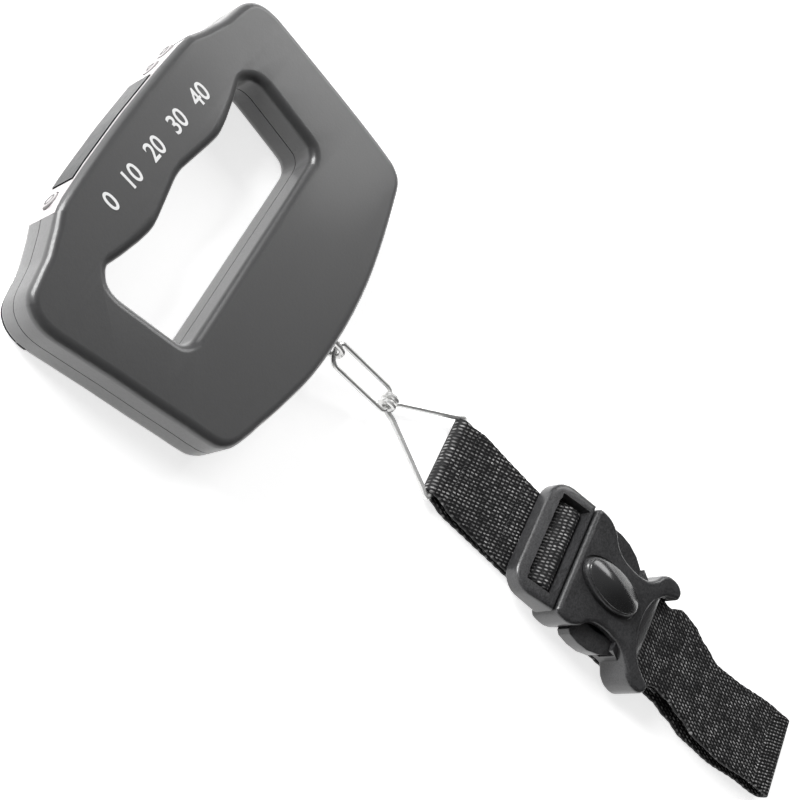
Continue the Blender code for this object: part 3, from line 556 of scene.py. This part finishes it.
def tape_mesh(name, route, tape):
    """A closed, round-edged ribbon along a route of (v, z) points, and its length in millimetres."""
    half = tape.thickness / MM / 2.0
    points, total = sample(route, TAPE_STEP)
    section = tape_section()
    vertices, uvs = [], []
    for k, point in enumerate(points):
        before, after = points[max(0, k - 1)], points[min(len(points) - 1, k + 1)]
        along = (after - before).normalized()
        up = Vector((-along.y, along.x))
        travelled = total * k / (len(points) - 1)
        wave = EDGE_WAVE * math.sin(travelled / (tape.row / MM) * math.pi)
        for side, level in section:
            v, z = point.x + up.x * half * level, point.y + up.y * half * level
            wide = half_width(point.x, tape.width / MM) + (wave if abs(side) > 0.99 else 0.0)
            u = side * wide + eased(SWAY, point.x)
            x, y = centre(v)
            angle = across(v)
            vertices.append(((x + u * math.cos(angle)) * MM, (y + u * math.sin(angle)) * MM, z * MM))
            uvs.append((u * MM / UV_UNIT, travelled * MM / UV_UNIT))
    item = object_from(name, vertices, loft(len(section), len(points)), uvs)
    turn_out(item)
    smooth_all(item)
    return item, total


def arc(centre_v, centre_z, radius, start, end, steps):
    """Points of a route along an arc, from one angle to another in degrees."""
    return [(centre_v + radius * math.cos(math.radians(start + (end - start) * i / steps)),
             centre_z + radius * math.sin(math.radians(start + (end - start) * i / steps)))
            for i in range(steps + 1)]


def long_route(tape):
    """From under the adjuster bar, up to the ring, back along the floor and round the far fold."""
    half = tape.thickness / MM / 2.0
    low, wrap = half + FLOOR_GAP, RING_R + RING_GAP + half
    route = [(FRAME_BAR_V + v, z) for v, z in
             [(-1.2, 3.0), (1.6, 3.0), (2.9, 3.6), (3.5, 5.0), (3.6, 7.0), (3.0, 8.7), (1.3, 8.8),
              (-0.8, 8.0), (-2.5, 7.0), (-3.3, 5.4), (-3.6, 3.9), (-4.6, 2.8), (-6.5, 2.55), (-13.0, 2.7)]]
    route += [(-30.0, 3.2), (V_RING + 5.0, 3.9)]
    route += arc(V_RING, RING_BAR[2], wrap, 80.0, 260.0, 9)
    route += [(V_RING + 3.0, low + 0.15), (V_RING + 6.0, low)]
    route += [(v, low) for v in (-28, -14, 0, 20, 40, 60, 80, FOLD_V - 5.3)] + [(FOLD_V - 1.5, low)]
    route += arc(FOLD_V, low + FOLD_R, FOLD_R, -90.0, 90.0, 8)
    return route + [(FOLD_V - 3.0, low + 2 * FOLD_R + 0.05), (RUN_END, low + 2 * FOLD_R + END_RISE)]


def tail_route(tape):
    """From the far fold back to the tail bar, round it and under itself."""
    half = tape.thickness / MM / 2.0
    bar_v, bar_z, bar_r = TAIL_BAR
    grip = bar_r + BAR_GAP + half
    route = [(50.0, 4.6), (44.0, 4.3), (38.5, bar_z - grip + 0.05)]
    route += arc(bar_v, bar_z, grip, -90.0, -270.0, 8)
    return route + [(38.5, bar_z + grip - 0.15), (44.0, 7.2), (52.0, 6.35), (66.0, 5.6), (80.0, 5.2),
                    (RUN_END, half + FLOOR_GAP + 2 * FOLD_R + END_RISE)]


# ---- stitches, by Geometry Nodes -------------------------------------------------------------
def stitch_group():
    """A row of short thread capsules between two points, realised and painted."""
    group = bpy.data.node_groups.new("stitch_row", "GeometryNodeTree")
    sockets = {}
    group.interface.new_socket("Geometry", in_out="INPUT", socket_type="NodeSocketGeometry")
    for name, kind in (("Start", "Vector"), ("End", "Vector"), ("Count", "Int"), ("Thread", "Float"),
                       ("Length", "Float"), ("Turn", "Vector"), ("Sides", "Int"), ("Material", "Material")):
        socket = group.interface.new_socket(name, in_out="INPUT", socket_type="NodeSocket" + kind)
        sockets[name] = socket.identifier
    group.interface.new_socket("Geometry", in_out="OUTPUT", socket_type="NodeSocketGeometry")
    add, link = group.nodes.new, group.links.new
    start, end = add("NodeGroupInput"), add("NodeGroupOutput")
    line = add("GeometryNodeMeshLine")
    line.mode, line.count_mode = "END_POINTS", "TOTAL"
    link(start.outputs["Count"], line.inputs["Count"])
    link(start.outputs["Start"], line.inputs["Start Location"])
    link(start.outputs["End"], line.inputs["Offset"])
    sphere = add("GeometryNodeMeshUVSphere")
    sphere.inputs["Rings"].default_value = 5
    link(start.outputs["Sides"], sphere.inputs["Segments"])
    link(start.outputs["Thread"], sphere.inputs["Radius"])
    stretch = add("GeometryNodeTransform")
    scale = add("ShaderNodeCombineXYZ")
    scale.inputs[1].default_value = 1.0
    scale.inputs[2].default_value = 1.0
    link(start.outputs["Length"], scale.inputs[0])
    link(scale.outputs[0], stretch.inputs["Scale"])
    link(start.outputs["Turn"], stretch.inputs["Rotation"])
    link(sphere.outputs["Mesh"], stretch.inputs["Geometry"])
    place = add("GeometryNodeInstanceOnPoints")
    link(line.outputs[0], place.inputs["Points"])
    link(stretch.outputs[0], place.inputs["Instance"])
    real, paint = add("GeometryNodeRealizeInstances"), add("GeometryNodeSetMaterial")
    link(place.outputs[0], real.inputs[0])
    link(real.outputs[0], paint.inputs["Geometry"])
    link(start.outputs["Material"], paint.inputs["Material"])
    link(paint.outputs[0], end.inputs[0])
    return group, sockets


def stitch_rows(name, rows, material, sides):
    """Rows of stitches across the tape at (v, z), joined into one mesh."""
    group, sockets = stitch_group()
    meshes = []
    for v, z in rows:
        (x0, y0), (x1, y1) = tape_point(-STITCH_REACH, v), tape_point(STITCH_REACH, v)
        holder = linked(name, bpy.data.meshes.new(name))
        modifier = holder.modifiers.new("stitches", "NODES")
        modifier.node_group = group
        values = {"Start": (x0 * MM, y0 * MM, z * MM), "End": (x1 * MM, y1 * MM, z * MM),
                  "Count": STITCH_COUNT, "Thread": THREAD_R * MM, "Length": STITCH_STRETCH,
                  "Turn": (0.0, 0.0, across(v)), "Sides": sides, "Material": material}
        for key, value in values.items():
            modifier[sockets[key]] = value
        meshes.append(baked(holder))
    return join(name, meshes, material)


def tape_point(u, v):
    """Row-frame x and y, in millimetres, of a point across and along the lying tape."""
    u += eased(SWAY, v)
    x, y = centre(v)
    return x + u * math.cos(across(v)), y + u * math.sin(across(v))


def join(name, items, material):
    """Join finished meshes into one object."""
    work = bmesh.new()
    for item in items:
        work.from_mesh(item.data)
        bpy.data.objects.remove(item, do_unlink=True)
    bmesh.ops.recalc_face_normals(work, faces=work.faces)
    mesh = bpy.data.meshes.new(name)
    work.to_mesh(mesh)
    work.free()
    mesh.materials.append(material)
    result = linked(name, mesh)
    smooth_all(result)
    return result


# ---- operators -------------------------------------------------------------------------------
class SCALE_OT_case(Operator):
    """Paint the shells, the battery door, the panel, the lens and the parts inside"""
    bl_idname = "luggage_scale.case"
    bl_label = "Case and display"

    def execute(self, context):
        look = settings().finish
        dress(moulded("case_satin", tuple(look.case), roughness=0.38, grain=1500.0, depth=0.00005,
                      variation=0.07, coat=0.34, sheen=0.52),
              "front_shell", "back_shell", "battery_cover")
        dress(moulded("panel_gloss", tuple(look.panel), roughness=0.24, grain=900.0, depth=0.00002,
                      variation=0.03, coat=0.3), "top_panel")
        dress(moulded("lens_dark", tuple(look.lens), roughness=0.16, grain=500.0, depth=0.00001,
                      variation=0.05, ior=1.12), "lcd_lens")
        dress(moulded("display_glass", DISPLAY_GREY, roughness=0.25, grain=800.0, depth=0.00002),
              "lcd_module")
        dress(moulded("button_satin", tuple(look.button), roughness=0.38, grain=1200.0, depth=0.00003,
                      variation=0.04), "button_left", "button_centre", "button_right")
        dress(moulded("black_moulded", CHIP_BLACK, roughness=0.4, grain=1200.0, depth=0.00003),
              "switch_left", "switch_centre", "switch_right", "main_chip")
        dress(moulded("board_mask", BOARD_GREEN, roughness=0.35, grain=700.0, depth=0.00002),
              "circuit_board")
        dress(moulded("gauge_film", GAUGE_AMBER, roughness=0.45, grain=900.0, depth=0.00002),
              "strain_gauge")
        return {"FINISHED"}


class SCALE_OT_metal(Operator):
    """Give the link, the ring, the screws and the inner metal their finish"""
    bl_idname = "luggage_scale.metal"
    bl_label = "Metal"

    def execute(self, context):
        look = settings().finish
        dress(metal("wire_nickel", tuple(look.wire), roughness=0.22, scale=900.0, stretch=(1.0, 0.2, 1.0),
                    bare=0.55), "wire_link", "strap_ring", "load_eye")
        dress(metal("screw_zinc", ZINC, roughness=0.32), "case_screw_a", "case_screw_b", "case_screw_c",
              "case_screw_d", "beam_screw_outer", "beam_screw_inner")
        dress(metal("beam_aluminium", ALUMINIUM, roughness=0.30, scale=500.0, stretch=(0.1, 1.0, 1.0)),
              "load_beam")
        dress(metal("cell_steel", STEEL, roughness=0.22), "coin_cell")
        dress(metal("contact_brass", BRASS, roughness=0.25), "cell_contact")
        return {"FINISHED"}


class SCALE_OT_buckle(Operator):
    """Finish both halves of the buckle and the latch arms"""
    bl_idname = "luggage_scale.buckle"
    bl_label = "Buckle"

    def execute(self, context):
        base = tuple(settings().finish.buckle)
        grained = buckle_finish(base)
        dress(grained, "buckle_male", "buckle_female", "latch_arm_left", "latch_arm_right")
        dome = self.dome()
        dome.data.materials.append(boss_finish(base))
        lip = self.lip()
        lip.data.materials.append(grained)
        for item in (dome, lip):
            smooth_all(item)
            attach(item, "female_half")
        return {"FINISHED"}

    def dome(self, sides=64, rings=14):
        """The crowned top of the oval boss."""
        vertices, faces = [], []
        for k in range(rings):
            tilt = math.radians(90.0 * k / rings)
            for j in range(sides):
                angle = 2.0 * math.pi * j / sides
                x, y = buckle_point(BOSS[0] * math.cos(tilt) * math.cos(angle),
                                    BOSS_V + BOSS[1] * math.cos(tilt) * math.sin(angle))
                vertices.append((x * MM, y * MM, (BOSS_Z + BOSS_RISE * math.sin(tilt)) * MM))
        for k in range(rings - 1):
            for j in range(sides):
                a, b = k * sides + j, k * sides + (j + 1) % sides
                faces.append((a, b, b + sides, a + sides))
        x, y = buckle_point(0.0, BOSS_V)
        top = len(vertices)
        vertices.append((x * MM, y * MM, (BOSS_Z + BOSS_RISE) * MM))
        last = (rings - 1) * sides
        faces += [(last + j, last + (j + 1) % sides, top) for j in range(sides)]
        faces.append(tuple(reversed(range(sides))))
        return object_from("boss_dome", vertices, faces)

    def lip(self, columns=40, rows=6):
        """The crescent that slopes from the plate's tail edge down to the webbing."""
        (root_z, tip_z), (root_wall, tip_wall) = LIP_Z, LIP_WALL
        vertices = []
        for k in range(columns + 1):
            u = LIP_HALF * (-1.0 + 2.0 * k / columns)
            share = 1.0 - (u / LIP_HALF) ** 2
            edge = LIP_V + LIP_CURVE * u * u
            profile = []
            for j in range(rows + 1):
                t = j / rows
                profile.append((edge + LIP_REACH * share * t, root_z - (root_z - tip_z) * t ** LIP_BEND))
            profile += [(edge + LIP_REACH * share, tip_z - tip_wall), (edge, root_z - root_wall)]
            for v, z in profile:
                x, y = buckle_point(u, v)
                vertices.append((x * MM, y * MM, z * MM))
        return object_from("tail_lip", vertices, loft(len(profile), columns + 1))


class SCALE_OT_tape(Operator):
    """Weave the webbing and stitch it"""
    bl_idname = "luggage_scale.tape"
    bl_label = "Webbing"

    def execute(self, context):
        tape = settings().tape
        weave, thread = weave_finish(tape), thread_finish(tuple(tape.stitch))
        long_tape, long_length = tape_mesh("tape_long", long_route(tape), tape)
        tail_tape, tail_length = tape_mesh("tape_tail", tail_route(tape), tape)
        for item in (long_tape, tail_tape):
            item.data.materials.append(weave)
        start, far, near = [tape_point(0.0, v) for v in BLEND_V]
        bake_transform(long_tape)
        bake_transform(tail_tape)
        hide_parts("webbing_front", "webbing_loop")
        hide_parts("webbing_tail")
        front = stitch_rows("stitches_front", FRONT_ROWS, thread, tape.sides)
        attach(front, "strap")
        tail = stitch_rows("stitches_tail", TAIL_ROWS, thread, tape.sides)
        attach(tail, "female_half")
        return {"FINISHED"}


class SCALE_OT_print(Operator):
    """Print plain numbers on the grip and simple marks on the buttons"""
    bl_idname = "luggage_scale.print"
    bl_label = "Numbers and marks"

    def execute(self, context):
        marks, look = settings().marks, settings().finish
        ink = print_finish(tuple(look.numbers))
        text = bpy.data.curves.new("grip_numbers", "FONT")
        text.body = marks.words
        text.align_x, text.align_y = "CENTER", "CENTER"
        text.extrude = PRINT_DEPTH * MM
        text.offset = PRINT_WEIGHT
        holder = linked("grip_numbers", text)
        bpy.context.view_layer.update()
        wide, tall = holder.dimensions.x, holder.dimensions.y
        holder.scale = (marks.run / wide, marks.height / tall, 1.0)
        holder.location = (PRINT_AT[0] * MM, PRINT_AT[1] * MM, (THICK + PRINT_DEPTH) * MM)
        holder.rotation_euler = (0.0, 0.0, math.radians(PRINT_TURN))
        bpy.context.view_layer.update()
        numbers = baked(holder)
        numbers.data.materials.append(ink)
        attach(numbers, "case")
        dark = print_finish(MARK_GREY)
        for key, sides in MARK_SIDES.items():
            icon = self.icon(key, sides)
            icon.data.materials.append(dark)
            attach(icon, "button_" + key)
        return {"FINISHED"}

    def icon(self, key, sides):
        """A thin outline on a button's end face."""
        x, y = BUTTONS[key] + SHIFT[0], crown(BUTTONS[key]) + BUTTON_TOP + MARK_GAP + SHIFT[1]
        vertices, faces = [], []
        for k in range(sides):
            angle = 2.0 * math.pi * (k + 0.5) / sides
            for radius in MARK_RADII:
                for depth in (0.0, MARK_DEPTH):
                    vertices.append(((x + radius * math.cos(angle)) * MM, (y + depth) * MM,
                                     (BUTTON_Z + radius * math.sin(angle)) * MM))
        for k in range(sides):
            a, b = 4 * k, 4 * ((k + 1) % sides)
            faces += [(a, b, b + 1, a + 1), (a + 2, a + 3, b + 3, b + 2), (a + 1, b + 1, b + 3, a + 3),
                      (a, a + 2, b + 2, b)]
        item = object_from("icon_" + key, vertices, faces)
        turn_out(item)
        return item


class SCALE_OT_stage(Operator):
    """Set up the pale floor, the soft lights and the camera"""
    bl_idname = "luggage_scale.stage"
    bl_label = "Studio"

    def execute(self, context):
        studio = settings().studio
        scene = context.scene
        scene.view_settings.view_transform = "Standard"
        corners = [(x * FLOOR_REACH, y * FLOOR_REACH, FLOOR_Z)
                   for x, y in ((-1, -1), (1, -1), (1, 1), (-1, 1))]
        floor = object_from("floor", corners, [(0, 1, 2, 3)])
        floor.data.materials.append(self.floor_material())
        self.world(scene, studio.sky)
        self.lamp("key", studio.key, KEY_SIZE, KEY_AT)
        self.lamp("sweep", studio.sweep, SWEEP_SIZE, SWEEP_AT)
        scene.camera = self.camera(studio.lens)
        return {"FINISHED"}

    def camera(self, focal_length):
        """The camera that the photograph was matched with."""
        data = bpy.data.cameras.new("camera")
        data.sensor_fit, data.sensor_height, data.lens = "VERTICAL", FRAME_HEIGHT, focal_length
        data.clip_start, data.clip_end = 0.01, 10.0
        camera = linked("camera", data)
        turn = Euler([math.radians(angle) for angle in CAMERA_TURN])
        camera.matrix_world = Matrix.LocRotScale(Vector(CAMERA_AT), turn, None)
        return camera

    def floor_material(self):
        """White paper that shows the camera and the metal a plain background."""
        finish = Finish("floor_paper")
        grain = finish.noise(300.0, 2.0)
        finish.set(Base_Color=finish.blend(grain, (0.86, 0.86, 0.86), (0.90, 0.90, 0.90)), Roughness=0.9)
        path = finish.node("LightPath")
        seen = finish.math("ADD", finish.math("MULTIPLY", path.outputs["Is Camera Ray"], FLOOR_SEEN),
                           finish.math("MULTIPLY", path.outputs["Is Glossy Ray"], FLOOR_MIRRORED))
        finish.set(Emission_Color=(1.0, 1.0, 1.0), Emission_Strength=seen)
        return finish.material

    def world(self, scene, strength):
        """A soft sky that is brighter beyond the crown, and plain white where the camera sees it."""
        world = bpy.data.worlds.new("studio")
        scene.world = world
        world.use_nodes = True
        tree = world.node_tree
        shader = tree.nodes["Background"]
        place = tree.nodes.new("ShaderNodeTexCoord")
        split = tree.nodes.new("ShaderNodeSeparateXYZ")
        tree.links.new(place.outputs["Generated"], split.inputs[0])
        ramp = tree.nodes.new("ShaderNodeMapRange")
        for ends, values in (("From", SKY_SPAN), ("To", SKY_LEVELS)):
            ramp.inputs[ends + " Min"].default_value, ramp.inputs[ends + " Max"].default_value = values
        tree.links.new(split.outputs[1], ramp.inputs["Value"])
        level = tree.nodes.new("ShaderNodeMath")
        level.operation = "MULTIPLY"
        level.inputs[1].default_value = strength
        tree.links.new(ramp.outputs[0], level.inputs[0])
        path, seen = tree.nodes.new("ShaderNodeLightPath"), tree.nodes.new("ShaderNodeMath")
        seen.operation = "MAXIMUM"
        tree.links.new(level.outputs[0], seen.inputs[0])
        tree.links.new(path.outputs["Is Camera Ray"], seen.inputs[1])
        tree.links.new(seen.outputs[0], shader.inputs["Strength"])
        shader.inputs["Color"].default_value = (1.0, 1.0, 1.0, 1.0)

    def lamp(self, name, power, size, spot):
        """A square soft light that shines on the case."""
        data = bpy.data.lights.new(name, "AREA")
        data.energy, data.size = power, size
        item = linked(name, data)
        item.location = spot
        item.rotation_euler = (Vector(LAMP_AIM) - Vector(spot)).to_track_quat("-Z", "Y").to_euler()


class SCALE_PT_panel(Panel):
    """Sidebar panel of the luggage scale"""
    bl_idname = "SCALE_PT_panel"
    bl_label = "Luggage Scale"
    bl_space_type = "VIEW_3D"
    bl_region_type = "UI"
    bl_category = "Luggage Scale"

    def draw(self, context):
        column = self.layout.column()
        for operator in OPERATORS:
            column.operator(operator.bl_idname)
        for group in (settings().finish, settings().tape, settings().marks, settings().studio):
            box = self.layout.box()
            for name in group.__annotations__:
                box.prop(group, name)


class ScaleSettings(PropertyGroup):
    """All settings of the luggage scale."""
    finish: PointerProperty(type=ScaleFinish)
    tape: PointerProperty(type=TapeSettings)
    marks: PointerProperty(type=GripPrint)
    studio: PointerProperty(type=StudioSettings)


OPERATORS = (SCALE_OT_case, SCALE_OT_metal, SCALE_OT_buckle, SCALE_OT_tape, SCALE_OT_print, SCALE_OT_stage)
CLASSES = (ScaleFinish, TapeSettings, GripPrint, StudioSettings, ScaleSettings, *OPERATORS, SCALE_PT_panel)


def register():
    for item in CLASSES:
        bpy.utils.register_class(item)
    bpy.types.Scene.luggage_scale = PointerProperty(type=ScaleSettings)


def unregister():
    del bpy.types.Scene.luggage_scale
    for item in reversed(CLASSES):
        bpy.utils.unregister_class(item)


def main():
    register()
    bpy.ops.luggage_scale.case()
    bpy.ops.luggage_scale.metal()
    bpy.ops.luggage_scale.buckle()
    bpy.ops.luggage_scale.tape()
    bpy.ops.luggage_scale.print()
    bpy.ops.luggage_scale.stage()


if __name__ == "__main__":
    main()
